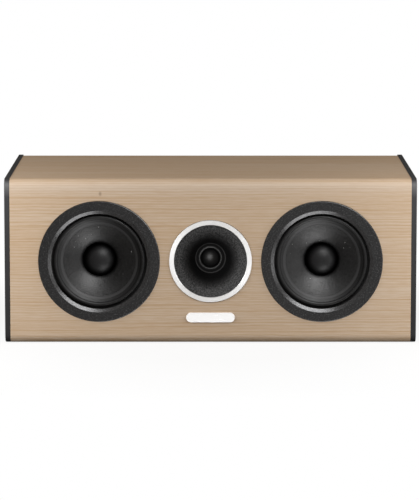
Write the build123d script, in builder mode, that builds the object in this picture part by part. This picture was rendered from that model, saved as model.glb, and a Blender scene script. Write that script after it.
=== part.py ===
from build123d import *
import os

# Center channel speaker: two woofers beside a horn-loaded tweeter in a veneered cabinet.
# Sizes are in millimetres. +Z is up, the front faces -Y, and the origin lies in the middle of
# the footprint. Depths of the drivers are counted from the baffle face towards the rear.

# Cabinet boards
cabinet_width = 550.0
body_height = 220.6
cabinet_depth = 320.0
front_edge_radius = 11.0
rear_edge_radius = 2.0
baffle_thickness = 22.0
board_thickness = 18.0
rear_panel_thickness = 16.0
joint_chamfer = 0.5

# Black end panels
end_panel_thickness = 7.2
end_panel_rise = 0.6
end_panel_rear_reach = 7.0
end_panel_rear_radius = 4.0
end_panel_edge_round = 1.4

# Braces and wadding
brace_thickness = 12.0
brace_rim = 28.0
brace_web = 30.0
brace_window_radius = 14.0
wadding_thickness = 32.0
wadding_gap = 3.0

# Woofer, from the cone outwards
cone_radius = 55.4
cone_rim_width = 7.2
cone_rim_drop = 3.4
cone_thickness = 0.7
cone_depth = 23.0
cone_bulge = 1.6
roll_width = 6.2
roll_height = 3.0
surround_thickness = 0.8
surround_lip_width = 3.3
surround_lip_thickness = 0.4
surround_land = 4.0
flange_rim = 8.5
flange_thickness = 9.0
surround_recess = 3.4
surround_skirt = 2.6
dust_cap_radius = 21.5
dust_cap_height = 12.5
dust_cap_thickness = 0.6
trim_ring_gap = 2.4
trim_ring_chamfer = 4.4
trim_ring_chamfer_drop = 2.6
trim_ring_overlap = 7.2
trim_ring_thickness = 5.0
trim_ring_edge_round = 1.3

# Woofer motor
former_inner_radius = 12.75
former_thickness = 0.3
former_lead_in = 3.0
winding_thickness = 0.7
winding_overhang = 3.0
coil_clearance = 0.45
glue_gap = 0.1
spider_room = 5.5
spider_waves = 5
spider_wave_height = 1.4
spider_thickness = 0.5
spider_land = 4.5
spider_radius = 42.5
shelf_margin = 1.0
basket_wall = 3.4
basket_floor = 3.0
basket_floor_gap = 7.0
basket_hole_margin = 6.0
basket_spokes = 6
basket_window_angle = 42.0
basket_window_start = 12.0
lug_length = 9.0
lug_width = 12.0
motor_plate_thickness = 6.0
motor_plate_radius = 40.0
magnet_radius = 45.0
magnet_thickness = 16.0
magnet_bore_gap = 8.0
yoke_radius = 42.0
pole_vent_radius = 4.0
pole_step = 2.0

# Tweeter, from the mouth to the motor
tweeter_ring_radius = 55.1
tweeter_ring_width = 6.3
tweeter_ring_thickness = 2.5
tweeter_ring_proud = 1.4
tweeter_ring_round = 0.4
horn_depth = 30.0
horn_lip_width = 18.0
horn_lip_drop = 3.0
horn_shoulder_radius = 20.0
horn_throat_radius = 20.6
horn_throat_length = 4.0
horn_wall = 3.0
horn_flange_thickness = 5.0
horn_back_flange_radius = 40.0
horn_back_flange_thickness = 3.0
dome_radius = 12.3
dome_height = 5.2
dome_roll_width = 4.4
dome_roll_height = 1.3
dome_thickness = 0.3
dome_land = 5.0
dome_joint_gap = 0.2
tweeter_coil_length = 4.5
tweeter_coil_thickness = 0.5
tweeter_coil_clearance = 0.4
tweeter_plate_thickness = 4.0
tweeter_magnet_radius = 33.0
tweeter_magnet_thickness = 10.0
tweeter_magnet_bore_gap = 5.0
tweeter_yoke_thickness = 5.0

# Layout of the front
driver_gap = 12.3
badge_gap = 14.1
badge_width = 64.8
badge_height = 13.0
badge_thickness = 1.6
badge_rim = 1.3
badge_field_depth = 0.3
cutout_clearance = 1.0
rebate_clearance = 0.5

# Screws
woofer_screw_count = 6
tweeter_screw_count = 4
screw_radius = 1.5
screw_head_radius = 2.5
screw_head_height = 1.6
screw_length = 17.0
screw_clearance = 0.1
cup_screw_length = 14.0

# Reflex port
port_bore_radius = 24.0
port_wall = 3.0
port_flare = 12.0
port_lip = 3.0
port_flange_thickness = 3.0
port_length = 118.0
port_edge_gap = 6.0
panel_hole_clearance = 0.5

# Terminal cup
cup_width = 82.0
cup_height = 54.0
cup_depth = 24.0
cup_wall = 2.6
cup_corner_radius = 8.0
cup_flange_margin = 7.5
cup_flange_thickness = 2.6
cup_edge_round = 1.0
cup_edge_gap = 8.0
cup_draft = 4.0

# Binding posts
post_spacing = 19.0
stud_radius = 3.0
stud_collar_radius = 7.0
stud_collar_thickness = 3.0
stud_reach = 15.0
stud_tail = 10.0
socket_radius = 2.0
socket_depth = 11.0
wire_hole_radius = 1.2
wire_hole_height = 1.6
cap_radius = 6.8
cap_length = 14.5
cap_flutes = 14
cap_flute_radius = 0.8
cap_edge_round = 1.0
post_clearance = 0.06
nut_flats = 10.0
nut_thickness = 4.0

# Crossover
board_side_gap = 4.0
crossover_depth = 84.0
crossover_centre = 40.0
crossover_thickness = 1.6
standoff_radius = 3.0
standoff_height = 8.0
standoff_inset = 4.5
bass_coil_radius = 23.0
bass_coil_bore = 11.0
bass_coil_height = 22.0
bass_coil_spot = (-28.0, -17.0)
treble_coil_radius = 15.0
treble_coil_bore = 7.0
treble_coil_height = 15.0
treble_coil_spot = (31.0, -23.0)
capacitor_radius = 9.5
capacitor_length = 42.0
capacitor_spots = ((-28.0, 27.0), (28.0, 29.0))
capacitor_edge_round = 1.5
resistor_length = 38.0
resistor_side = 8.0
resistor_spots = ((31.0, 1.5), (31.0, 12.0))
seat_gap = 0.1

# Leads inside the cabinet
lead_radius = 2.0
lead_bend = 10.0
lead_margin = 2.0
lead_drop = 30.0
woofer_lead_spot = 6.0
tweeter_lead_spot = (2.0, -34.0)
input_lead_spots = ((-3.5, 12.0), (3.5, 12.0))

# Faces that the boards and drivers share
shell_width = cabinet_width - 2 * end_panel_thickness
baffle_front = -cabinet_depth / 2
baffle_back = baffle_front + baffle_thickness
rear_face = cabinet_depth / 2
rear_inner = rear_face - rear_panel_thickness
inner_top = body_height - board_thickness
inner_height = inner_top - board_thickness
driver_z = body_height / 2

# Radii of the woofer
rim_inner = cone_radius - cone_rim_width
lip_outer = rim_inner + surround_lip_width
roll_outer = cone_radius + roll_width
roll_middle = cone_radius + roll_width / 2
land_outer = roll_outer + surround_land
flange_radius = land_outer + flange_rim
trim_ring_inner = roll_outer + trim_ring_gap
trim_ring_face = trim_ring_inner + trim_ring_chamfer
trim_ring_outer = flange_radius + trim_ring_overlap
woofer_cutout = roll_outer + cutout_clearance
woofer_screw_circle = land_outer + flange_rim / 2
former_outer = former_inner_radius + former_thickness
winding_outer = former_outer + winding_thickness
neck_radius = former_outer + glue_gap
plate_bore = winding_outer + coil_clearance
pole_radius = former_inner_radius - coil_clearance
basket_hole = winding_outer + basket_hole_margin
basket_foot = spider_radius + basket_wall

# Depths in the woofer
land_front = surround_recess
land_back = land_front + surround_thickness
skirt_front = land_front + surround_skirt
skirt_back = land_back + surround_skirt
rim_back = land_back + cone_rim_drop
lip_share = (cone_radius - lip_outer) / cone_rim_width
lip_back = land_back + cone_rim_drop * lip_share
neck_front = land_back + cone_depth
cap_share = (rim_inner - dust_cap_radius) / (rim_inner - neck_radius)
cap_seat = rim_back + (neck_front - rim_back) * cap_share - cone_bulge
shelf_front = neck_front + cone_thickness + spider_room
spider_plane = shelf_front - spider_thickness / 2
basket_floor_front = shelf_front + basket_floor_gap
basket_back = basket_floor_front + basket_floor
magnet_front = basket_back + motor_plate_thickness
magnet_back = magnet_front + magnet_thickness
yoke_back = magnet_back + motor_plate_thickness
winding_front = basket_back - winding_overhang
winding_back = magnet_front + winding_overhang
former_front = neck_front - former_lead_in

# Radii and depths in the tweeter
tweeter_ring_inner = tweeter_ring_radius - tweeter_ring_width
horn_flange_front = tweeter_ring_thickness - tweeter_ring_proud
horn_flange_back = horn_flange_front + horn_flange_thickness
horn_throat_front = horn_flange_front + horn_depth
horn_back = horn_throat_front + horn_throat_length
tweeter_cutout = tweeter_ring_inner
tweeter_screw_circle = tweeter_ring_radius - tweeter_ring_width / 2
dome_edge = dome_radius + dome_roll_width
dome_land_outer = dome_edge + dome_land
dome_back = horn_back + dome_thickness
tweeter_coil_outer = dome_radius + tweeter_coil_thickness
tweeter_plate_bore = tweeter_coil_outer + tweeter_coil_clearance
tweeter_pole_radius = dome_radius - tweeter_coil_clearance
tweeter_magnet_front = dome_back + tweeter_plate_thickness
tweeter_magnet_back = tweeter_magnet_front + tweeter_magnet_thickness
tweeter_yoke_back = tweeter_magnet_back + tweeter_yoke_thickness

# Places across the cabinet
woofer_x = tweeter_ring_radius + driver_gap + trim_ring_outer
badge_z = driver_z - tweeter_ring_radius - badge_gap - badge_height / 2
brace_x = (tweeter_cutout + woofer_x - woofer_cutout) / 2
brace_inner = brace_x - brace_thickness / 2
brace_outer = brace_x + brace_thickness / 2
brace_length = rear_inner - baffle_back
brace_window_length = (brace_length - 2 * brace_rim - brace_web) / 2
front_window_y = baffle_back + brace_rim + brace_window_length / 2
rear_window_y = rear_inner - brace_rim - brace_window_length / 2
port_throat = port_bore_radius + port_flare
port_flange_radius = port_throat + port_lip
port_sleeve_radius = port_bore_radius + port_flare / 2 + port_lip
port_z = inner_top - port_flange_radius - port_edge_gap
cup_flange_width = cup_width + 2 * cup_flange_margin
cup_flange_height = cup_height + 2 * cup_flange_margin
cup_z = board_thickness + cup_flange_height / 2 + cup_edge_gap
cup_floor_outer = rear_face - cup_depth + cup_wall
cup_floor_inner = rear_face - cup_depth
stud_seat = cup_floor_outer + stud_collar_thickness
stud_tip = stud_seat + stud_reach
stud_end = cup_floor_inner - stud_tail
crossover_width = 2 * (brace_inner - board_side_gap)
board_under = board_thickness + standoff_height
board_top = board_under + crossover_thickness

os.makedirs("parts", exist_ok=True)


def half_section(x_centre):
    """Plane through a driver's axis: x is the radius, y is the depth behind the baffle face."""
    return Plane(origin=(x_centre, baffle_front, driver_z), x_dir=(1, 0, 0), z_dir=(0, 0, 1))


def driver_axis(x_centre):
    """Axis of a driver, from the front to the rear."""
    return Axis((x_centre, baffle_front, driver_z), (0, 1, 0))


def cross_section(x_centre, depth):
    """Plane across a driver's axis at a depth; its normal points to the rear."""
    origin = (x_centre, baffle_front + depth, driver_z)
    return Plane(origin=origin, x_dir=(1, 0, 0), z_dir=(0, 1, 0))


def front_face(x_centre):
    """Plane of the baffle face in front of a driver, looking out of the front."""
    return Plane(origin=(x_centre, baffle_front, driver_z), x_dir=(1, 0, 0), z_dir=(0, -1, 0))


def rear_plane(height, y=rear_face):
    """Plane that looks out of the rear at a height; x runs to -X and y runs up."""
    return Plane(origin=(0, y, height), x_dir=(-1, 0, 0), z_dir=(0, 1, 0))


def post_plane(x_centre, y):
    """Plane across a binding post; its normal points out of the rear."""
    return Plane(origin=(x_centre, y, cup_z), x_dir=(-1, 0, 0), z_dir=(0, 1, 0))


def save(piece, name):
    """Label a finished piece and write it."""
    piece.label = name
    export_step(piece, f"parts/{name}.step")


def make_disc(x_centre, inner_radius, outer_radius, front, back):
    """A plain ring on a driver's axis between two depths."""
    with BuildPart() as disc:
        with BuildSketch(cross_section(x_centre, front)):
            Circle(outer_radius)
            Circle(inner_radius, mode=Mode.SUBTRACT)
        extrude(amount=back - front)
    return disc.part


def make_cabinet_shell():
    """Baffle, top and bottom as one veneered wrap, with the seats for the drivers."""
    with BuildPart() as shell:
        with BuildSketch(Plane.YZ.offset(-shell_width / 2)):
            with Locations((0, body_height / 2)):
                outline = Rectangle(cabinet_depth, body_height)
            fillet(outline.vertices().group_by(Axis.X)[0], front_edge_radius)
            with Locations(((baffle_back + rear_face) / 2, body_height / 2)):
                Rectangle(rear_face - baffle_back, inner_height, mode=Mode.SUBTRACT)
        extrude(amount=shell_width)
        rear_edges = shell.faces().group_by(Axis.Y)[-1].edges().filter_by(Axis.X).group_by(Axis.Z)
        fillet(rear_edges[0] + rear_edges[-1], rear_edge_radius)
        for x_centre in (-woofer_x, woofer_x):
            rebate = flange_radius + rebate_clearance
            with Locations(front_face(x_centre)):
                CounterBoreHole(woofer_cutout, rebate, flange_thickness, depth=baffle_thickness)
                with PolarLocations(woofer_screw_circle, woofer_screw_count):
                    Hole(screw_radius + screw_clearance, depth=screw_length + screw_clearance)
        rebate = tweeter_ring_radius + rebate_clearance
        with Locations(front_face(0)):
            CounterBoreHole(tweeter_cutout, rebate, horn_flange_back, depth=baffle_thickness)
            with PolarLocations(tweeter_screw_circle, tweeter_screw_count):
                pilot = horn_flange_front + screw_length + screw_clearance
                Hole(screw_radius + screw_clearance, depth=pilot)
    return shell.part


def make_end_panel(side):
    """A black end panel that closes the cabinet; side is -1 for left and 1 for right."""
    panel_length = cabinet_depth + end_panel_rear_reach
    panel_height = body_height + end_panel_rise
    with BuildPart() as panel:
        with BuildSketch(Plane.YZ.offset(side * shell_width / 2)):
            with Locations((baffle_front + panel_length / 2, panel_height / 2)):
                outline = Rectangle(panel_length, panel_height)
            ends = outline.vertices().group_by(Axis.X)
            fillet(ends[0], front_edge_radius)
            fillet(ends[-1], end_panel_rear_radius)
        extrude(amount=side * end_panel_thickness)
        by_side = panel.faces().sort_by(Axis.X)[::side]
        fillet(by_side[-1].edges(), end_panel_edge_round)
        chamfer(panel.faces().sort_by(Axis.X)[::side][0].edges(), joint_chamfer)
    return panel.part


def make_rear_panel():
    """The board that closes the rear, with holes for the port and the terminal cup."""
    with BuildPart() as panel:
        with BuildSketch(rear_plane(driver_z)):
            Rectangle(shell_width, inner_height)
        extrude(amount=-rear_panel_thickness)
        with BuildSketch(rear_plane(port_z)):
            Circle(port_sleeve_radius + panel_hole_clearance)
        extrude(amount=-rear_panel_thickness, mode=Mode.SUBTRACT)
        with BuildSketch(rear_plane(cup_z)):
            hole_width = cup_width + 2 * panel_hole_clearance
            hole_height = cup_height + 2 * panel_hole_clearance
            RectangleRounded(hole_width, hole_height, cup_corner_radius)
        extrude(amount=-rear_panel_thickness, mode=Mode.SUBTRACT)
        with Locations(rear_plane(cup_z)):
            with GridLocations(cup_width + cup_flange_margin, cup_height + cup_flange_margin, 2, 2):
                pilot = cup_screw_length - cup_flange_thickness + screw_clearance
                Hole(screw_radius + screw_clearance, depth=pilot)
    return panel.part


def make_brace(side):
    """A window brace between baffle, rear panel, top and bottom."""
    with BuildPart() as brace:
        with BuildSketch(Plane.YZ.offset(side * brace_x - brace_thickness / 2)):
            with Locations(((baffle_back + rear_inner) / 2, driver_z)):
                Rectangle(brace_length, inner_height)
            with Locations((front_window_y, driver_z), (rear_window_y, driver_z)):
                window_height = inner_height - 2 * brace_rim
                RectangleRounded(
                    brace_window_length, window_height, brace_window_radius, mode=Mode.SUBTRACT
                )
        extrude(amount=brace_thickness)
    return brace.part


def make_wadding(side):
    """A pad of wadding on the rear panel, between a brace and an end panel."""
    pad_width = shell_width / 2 - brace_outer - 2 * wadding_gap
    with BuildPart() as pad:
        with BuildSketch(rear_plane(driver_z, rear_inner)):
            with Locations((-side * (shell_width / 2 + brace_outer) / 2, 0)):
                Rectangle(pad_width, inner_height - 2 * wadding_gap)
        extrude(amount=-wadding_thickness)
    return pad.part


def make_trim_ring(x_centre):
    """Cover ring over a woofer's flange, with a wide inner chamfer and a rounded outer edge."""
    chamfer_back = trim_ring_chamfer_drop - trim_ring_thickness
    with BuildPart() as ring:
        with BuildSketch(half_section(x_centre)):
            with BuildLine():
                Polyline(
                    (trim_ring_inner, 0),
                    (trim_ring_outer, 0),
                    (trim_ring_outer, -trim_ring_thickness),
                    (trim_ring_face, -trim_ring_thickness),
                    (trim_ring_inner, chamfer_back),
                    close=True,
                )
            make_face()
        revolve(axis=driver_axis(x_centre))
        front_edges = ring.edges().group_by(Axis.Y)[0]
        fillet(front_edges.sort_by(SortBy.RADIUS)[-1], trim_ring_edge_round)
    return ring.part


def make_surround(x_centre):
    """Half-roll rubber surround: a sunk outer land, and a stepped inner land on the cone's rim."""
    with BuildPart() as surround:
        with BuildSketch(half_section(x_centre)):
            with BuildLine():
                outer = Polyline(
                    (land_outer, skirt_front), (roll_outer, skirt_front), (roll_outer, land_front)
                )
                crest = (roll_middle, land_front - roll_height)
                roll = ThreePointArc(outer @ 1, crest, (cone_radius, land_front))
                inner = Polyline(
                    roll @ 1,
                    (lip_outer, lip_back - surround_thickness),
                    (lip_outer, lip_back - surround_lip_thickness),
                    (rim_inner, rim_back - surround_lip_thickness),
                    (rim_inner, rim_back),
                    (cone_radius, land_back),
                    (cone_radius + surround_thickness, land_back),
                )
                crest_back = (roll_middle, land_front - roll_height + surround_thickness)
                hollow_end = (roll_outer - surround_thickness, land_back)
                hollow = ThreePointArc(inner @ 1, crest_back, hollow_end)
                back = Polyline(
                    hollow @ 1, (roll_outer - surround_thickness, skirt_back), (land_outer, skirt_back)
                )
                Line(back @ 1, outer @ 0)
            make_face()
        revolve(axis=driver_axis(x_centre))
    return surround.part


def make_cone(x_centre):
    """Curved cone with a straight rim under the surround and a neck on the coil former."""
    with BuildPart() as cone:
        with BuildSketch(half_section(x_centre)):
            with BuildLine():
                rim = Line((cone_radius, land_back), (rim_inner, rim_back))
                seat = (dust_cap_radius, cap_seat)
                ThreePointArc(rim @ 1, seat, (neck_radius, neck_front))
                offset(amount=cone_thickness, side=Side.RIGHT)
            make_face()
        revolve(axis=driver_axis(x_centre))
    return cone.part


def make_dust_cap(x_centre):
    """Domed cap that stands on the cone over the coil."""
    base = cap_seat - glue_gap
    with BuildPart() as cap:
        with BuildSketch(half_section(x_centre)):
            with BuildLine():
                apex = (0, base - dust_cap_height)
                TangentArc(apex, (dust_cap_radius, base), tangent=(1, 0))
                offset(amount=dust_cap_thickness, side=Side.LEFT)
            make_face()
        revolve(axis=driver_axis(x_centre))
    return cap.part


def make_spider(x_centre):
    """Corrugated suspension between the coil former and its shelf in the basket."""
    start = neck_radius
    wave = (spider_radius - spider_land - start) / spider_waves
    with BuildPart() as spider:
        with BuildSketch(half_section(x_centre)):
            with BuildLine():
                for number in range(spider_waves):
                    left = start + spider_thickness / 2 + number * wave
                    lift = spider_wave_height * (1 if number % 2 else -1)
                    middle = (left + wave / 2, spider_plane + lift)
                    arc = ThreePointArc((left, spider_plane), middle, (left + wave, spider_plane))
                Line(arc @ 1, (spider_radius, spider_plane))
            trace(line_width=spider_thickness)
        revolve(axis=driver_axis(x_centre))
    return spider.part


def make_basket(x_centre, side):
    """Cast frame: flange, windowed wall, spider shelf, floor for the motor and a lug for the lead."""
    shoulder = roll_outer
    shelf_inner = spider_radius - spider_land + shelf_margin
    with BuildPart() as basket:
        with BuildSketch(half_section(x_centre)):
            with BuildLine():
                Polyline(
                    (land_outer, 0),
                    (flange_radius, 0),
                    (flange_radius, flange_thickness),
                    (shoulder, flange_thickness),
                    (basket_foot, basket_floor_front),
                    (basket_foot, basket_back),
                    (basket_hole, basket_back),
                    (basket_hole, basket_floor_front),
                    (shelf_inner, basket_floor_front),
                    (shelf_inner, shelf_front),
                    (spider_radius, shelf_front),
                    (shoulder - basket_wall, flange_thickness),
                    (shoulder - basket_wall, skirt_back),
                    (land_outer, skirt_back),
                    close=True,
                )
            make_face()
        revolve(axis=driver_axis(x_centre))
        window_length = shelf_front - basket_wall - basket_window_start
        window_middle = basket_window_start + window_length / 2
        for number in range(basket_spokes):
            turn = 360 * number / basket_spokes - basket_window_angle / 2
            with BuildSketch(half_section(x_centre).rotated((0, turn, 0))):
                with Locations(((spider_radius + flange_radius) / 2, window_middle)):
                    Rectangle(flange_radius - spider_radius, window_length)
            revolve(
                axis=driver_axis(x_centre),
                revolution_arc=basket_window_angle,
                mode=Mode.SUBTRACT,
            )
        with BuildSketch(cross_section(x_centre, basket_back)):
            with Locations((-side * (basket_foot + (lug_length - basket_wall) / 2), 0)):
                Rectangle(lug_length + basket_wall, lug_width)
        extrude(amount=-basket_floor)
        with BuildSketch(cross_section(x_centre, 0)):
            with PolarLocations(woofer_screw_circle, woofer_screw_count):
                Circle(screw_head_radius + screw_clearance)
        extrude(amount=screw_head_height + screw_clearance, mode=Mode.SUBTRACT)
        with BuildSketch(cross_section(x_centre, 0)):
            with PolarLocations(woofer_screw_circle, woofer_screw_count):
                Circle(screw_radius + screw_clearance)
        extrude(amount=flange_thickness, mode=Mode.SUBTRACT)
    return basket.part


def make_yoke(x_centre, pole, outer, front, plate_front, back, vent):
    """Back plate of a motor with its pole, vented through the middle where it has a vent."""
    with BuildPart() as yoke:
        with BuildSketch(cross_section(x_centre, plate_front)):
            Circle(outer)
        extrude(amount=back - plate_front)
        with BuildSketch(cross_section(x_centre, front)):
            Circle(pole)
        extrude(amount=plate_front - front)
        with BuildSketch(cross_section(x_centre, front)):
            Circle(vent)
        extrude(amount=back - front, mode=Mode.SUBTRACT)
    return yoke.part


def make_screws(planes, circle, count):
    """Flat-head screws on a circle in each plane, heads sunk in a flange, shanks in the baffle."""
    with BuildPart() as screws:
        for plane in planes:
            with BuildSketch(plane):
                with PolarLocations(circle, count):
                    Circle(screw_head_radius)
            extrude(amount=screw_head_height)
            with BuildSketch(plane):
                with PolarLocations(circle, count):
                    Circle(screw_radius)
            extrude(amount=screw_length)
    return screws.part


def make_tweeter_ring():
    """Bright metal ring around the mouth of the horn."""
    with BuildPart() as ring:
        with BuildSketch(cross_section(0, -tweeter_ring_proud)):
            Circle(tweeter_ring_radius)
            Circle(tweeter_ring_inner, mode=Mode.SUBTRACT)
        extrude(amount=tweeter_ring_thickness)
        fillet(ring.edges().group_by(Axis.Y)[0], tweeter_ring_round)
    return ring.part


def make_horn():
    """Flared horn: flange under the ring, shallow lip, rounded shoulder, throat and rear flange."""
    back_flange_front = horn_back - horn_back_flange_thickness
    with BuildPart() as horn:
        with BuildSketch(half_section(0)):
            with BuildLine():
                FilletPolyline(
                    (tweeter_ring_inner, horn_flange_front),
                    (tweeter_ring_inner - horn_lip_width, horn_flange_front + horn_lip_drop),
                    (horn_throat_radius, horn_throat_front),
                    radius=horn_shoulder_radius,
                )
                offset(amount=horn_wall, side=Side.RIGHT)
            make_face()
            with Locations((tweeter_ring_inner, horn_flange_front)):
                Rectangle(tweeter_ring_width, horn_flange_thickness, align=(Align.MIN, Align.MIN))
            with Locations((horn_throat_radius, horn_throat_front)):
                Rectangle(horn_wall, horn_throat_length, align=(Align.MIN, Align.MIN))
            with Locations((horn_throat_radius, back_flange_front)):
                flange_width = horn_back_flange_radius - horn_throat_radius
                Rectangle(
                    flange_width, horn_back_flange_thickness, align=(Align.MIN, Align.MIN)
                )
        revolve(axis=driver_axis(0))
        with BuildSketch(cross_section(0, horn_flange_front)):
            with PolarLocations(tweeter_screw_circle, tweeter_screw_count):
                Circle(screw_head_radius + screw_clearance)
        extrude(amount=screw_head_height + screw_clearance, mode=Mode.SUBTRACT)
        with BuildSketch(cross_section(0, horn_flange_front)):
            with PolarLocations(tweeter_screw_circle, tweeter_screw_count):
                Circle(screw_radius + screw_clearance)
        extrude(amount=horn_flange_thickness, mode=Mode.SUBTRACT)
    return horn.part


def make_dome():
    """Soft dome, its roll and its clamping land as one pressed diaphragm."""
    middle = dome_back - dome_thickness / 2
    with BuildPart() as dome:
        with BuildSketch(half_section(0)):
            with BuildLine():
                cap = TangentArc((0, middle - dome_height), (dome_radius, middle), tangent=(1, 0))
                crest = (dome_radius + dome_roll_width / 2, middle - dome_roll_height)
                roll = ThreePointArc(cap @ 1, crest, (dome_edge, middle))
                Line(roll @ 1, (dome_land_outer, middle))
            trace(line_width=dome_thickness)
        revolve(axis=driver_axis(0))
    return dome.part


def make_badge():
    """Bare pill-shaped badge plate with a raised rim."""
    face = Plane(origin=(0, baffle_front, badge_z), x_dir=(1, 0, 0), z_dir=(0, -1, 0))
    with BuildPart() as badge:
        with BuildSketch(face):
            SlotOverall(badge_width, badge_height)
        extrude(amount=badge_thickness)
        with BuildSketch(face.offset(badge_thickness)):
            SlotOverall(badge_width - 2 * badge_rim, badge_height - 2 * badge_rim)
        extrude(amount=-badge_field_depth, mode=Mode.SUBTRACT)
    return badge.part


def make_port():
    """Reflex port: outer flange, flared mouth, sleeve in the rear panel and tube."""
    section = Plane(origin=(0, rear_face, port_z), x_dir=(1, 0, 0), z_dir=(0, 0, 1))
    flare_end = port_flange_thickness - port_flare
    tube_outer = port_bore_radius + port_wall
    with BuildPart() as port:
        with BuildSketch(section):
            with BuildLine():
                flare_middle = (port_throat, flare_end)
                flare = CenterArc(flare_middle, port_flare, 90, 90)
                Polyline(
                    flare @ 1,
                    (port_bore_radius, -port_length),
                    (tube_outer, -port_length),
                    (tube_outer, -rear_panel_thickness),
                    (port_sleeve_radius, -rear_panel_thickness),
                    (port_sleeve_radius, 0),
                    (port_flange_radius, 0),
                    (port_flange_radius, port_flange_thickness),
                    flare @ 0,
                )
            make_face()
        revolve(axis=Axis((0, rear_face, port_z), (0, 1, 0)))
        rear_edges = port.edges().filter_by(GeomType.CIRCLE).group_by(Axis.Y)[-1]
        fillet(rear_edges.sort_by(SortBy.RADIUS)[-1], port_flange_thickness / 2)
    return port.part


def make_terminal_cup():
    """Moulded cup in the rear panel with holes for two binding posts and four screws."""
    with BuildPart() as cup:
        with BuildSketch(rear_plane(cup_z)):
            RectangleRounded(cup_flange_width, cup_flange_height, cup_corner_radius)
        extrude(amount=cup_flange_thickness)
        rim = cup.faces().sort_by(Axis.Y)[-1].edges()
        fillet(rim, cup_edge_round)
        with BuildSketch(rear_plane(cup_z)):
            RectangleRounded(cup_width, cup_height, cup_corner_radius)
        extrude(amount=-cup_depth)
        with BuildSketch(rear_plane(cup_z, rear_face + cup_flange_thickness)):
            hollow_width = cup_width - 2 * cup_wall
            hollow_height = cup_height - 2 * cup_wall
            RectangleRounded(hollow_width, hollow_height, cup_corner_radius - cup_wall)
        hollow_depth = cup_depth + cup_flange_thickness - cup_wall
        extrude(amount=-hollow_depth, taper=cup_draft, mode=Mode.SUBTRACT)
        with BuildSketch(rear_plane(cup_z, cup_floor_outer)):
            with GridLocations(post_spacing, 0, 2, 1):
                Circle(stud_radius + post_clearance)
        extrude(amount=-cup_wall, mode=Mode.SUBTRACT)
        with BuildSketch(rear_plane(cup_z)):
            with GridLocations(cup_width + cup_flange_margin, cup_height + cup_flange_margin, 2, 2):
                Circle(screw_radius + screw_clearance)
        extrude(amount=cup_flange_thickness, mode=Mode.SUBTRACT)
    return cup.part


def make_cup_screws():
    """Four screws that hold the terminal cup."""
    head_seat = rear_face + cup_flange_thickness
    with BuildPart() as screws:
        with BuildSketch(rear_plane(cup_z, head_seat)):
            with GridLocations(cup_width + cup_flange_margin, cup_height + cup_flange_margin, 2, 2):
                Circle(screw_head_radius)
        extrude(amount=screw_head_height)
        fillet(screws.edges().group_by(Axis.Y)[-1], screw_head_height / 2)
        with BuildSketch(rear_plane(cup_z, head_seat)):
            with GridLocations(cup_width + cup_flange_margin, cup_height + cup_flange_margin, 2, 2):
                Circle(screw_radius)
        extrude(amount=-cup_screw_length)
    return screws.part


def make_stud(x_centre):
    """Binding post stud: collar on the cup floor, plug socket in its tip, cross hole for bare wire."""
    with BuildPart() as stud:
        with BuildSketch(post_plane(x_centre, stud_end)):
            Circle(stud_radius)
        extrude(amount=stud_tip - stud_end)
        with BuildSketch(post_plane(x_centre, cup_floor_outer)):
            Circle(stud_collar_radius)
        extrude(amount=stud_collar_thickness)
        with BuildSketch(post_plane(x_centre, stud_tip)):
            Circle(socket_radius)
        extrude(amount=-socket_depth, mode=Mode.SUBTRACT)
        cross = (x_centre - stud_radius, stud_seat + wire_hole_height, cup_z)
        with BuildSketch(Plane(origin=cross, x_dir=(0, 1, 0), z_dir=(1, 0, 0))):
            Circle(wire_hole_radius)
        extrude(amount=2 * stud_radius, mode=Mode.SUBTRACT)
    return stud.part


def make_cap(x_centre):
    """Fluted clamp cap of a binding post, open through the middle for a plug."""
    with BuildPart() as cap:
        with BuildSketch(post_plane(x_centre, stud_seat)):
            Circle(cap_radius)
        extrude(amount=cap_length)
        fillet(cap.edges().group_by(Axis.Y)[-1], cap_edge_round)
        with BuildSketch(post_plane(x_centre, stud_seat)):
            with PolarLocations(cap_radius, cap_flutes):
                Circle(cap_flute_radius)
        extrude(amount=cap_length, mode=Mode.SUBTRACT)
        with BuildSketch(post_plane(x_centre, stud_seat)):
            Circle(stud_radius + post_clearance)
        extrude(amount=cap_length, mode=Mode.SUBTRACT)
    return cap.part


def make_nuts():
    """Hexagon nuts behind the cup floor, one on each stud."""
    with BuildPart() as nuts:
        with BuildSketch(rear_plane(cup_z, cup_floor_inner)):
            with GridLocations(post_spacing, 0, 2, 1):
                RegularPolygon(nut_flats / 2, 6, major_radius=False)
                Circle(stud_radius + post_clearance, mode=Mode.SUBTRACT)
        extrude(amount=-nut_thickness)
    return nuts.part


def crossover_plane(height):
    """Plane over the crossover board at a height, with its origin in the middle of the board."""
    return Plane(origin=(0, crossover_centre, height))


def make_crossover_board():
    """Flat board that carries the crossover."""
    with BuildPart() as board:
        with BuildSketch(crossover_plane(board_under)):
            Rectangle(crossover_width, crossover_depth)
        extrude(amount=crossover_thickness)
    return board.part


def make_standoffs():
    """Four stand-offs between the cabinet bottom and the crossover board."""
    span_x = crossover_width - 2 * standoff_inset
    span_y = crossover_depth - 2 * standoff_inset
    with BuildPart() as standoffs:
        with BuildSketch(crossover_plane(board_thickness)):
            with GridLocations(span_x, span_y, 2, 2):
                Circle(standoff_radius)
        extrude(amount=standoff_height)
    return standoffs.part


def make_coil(spot, outer_radius, bore_radius, height):
    """Air-core inductor standing on the crossover board."""
    with BuildPart() as coil:
        with BuildSketch(crossover_plane(board_top)):
            with Locations(spot):
                Circle(outer_radius)
                Circle(bore_radius, mode=Mode.SUBTRACT)
        extrude(amount=height)
    return coil.part


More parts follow.
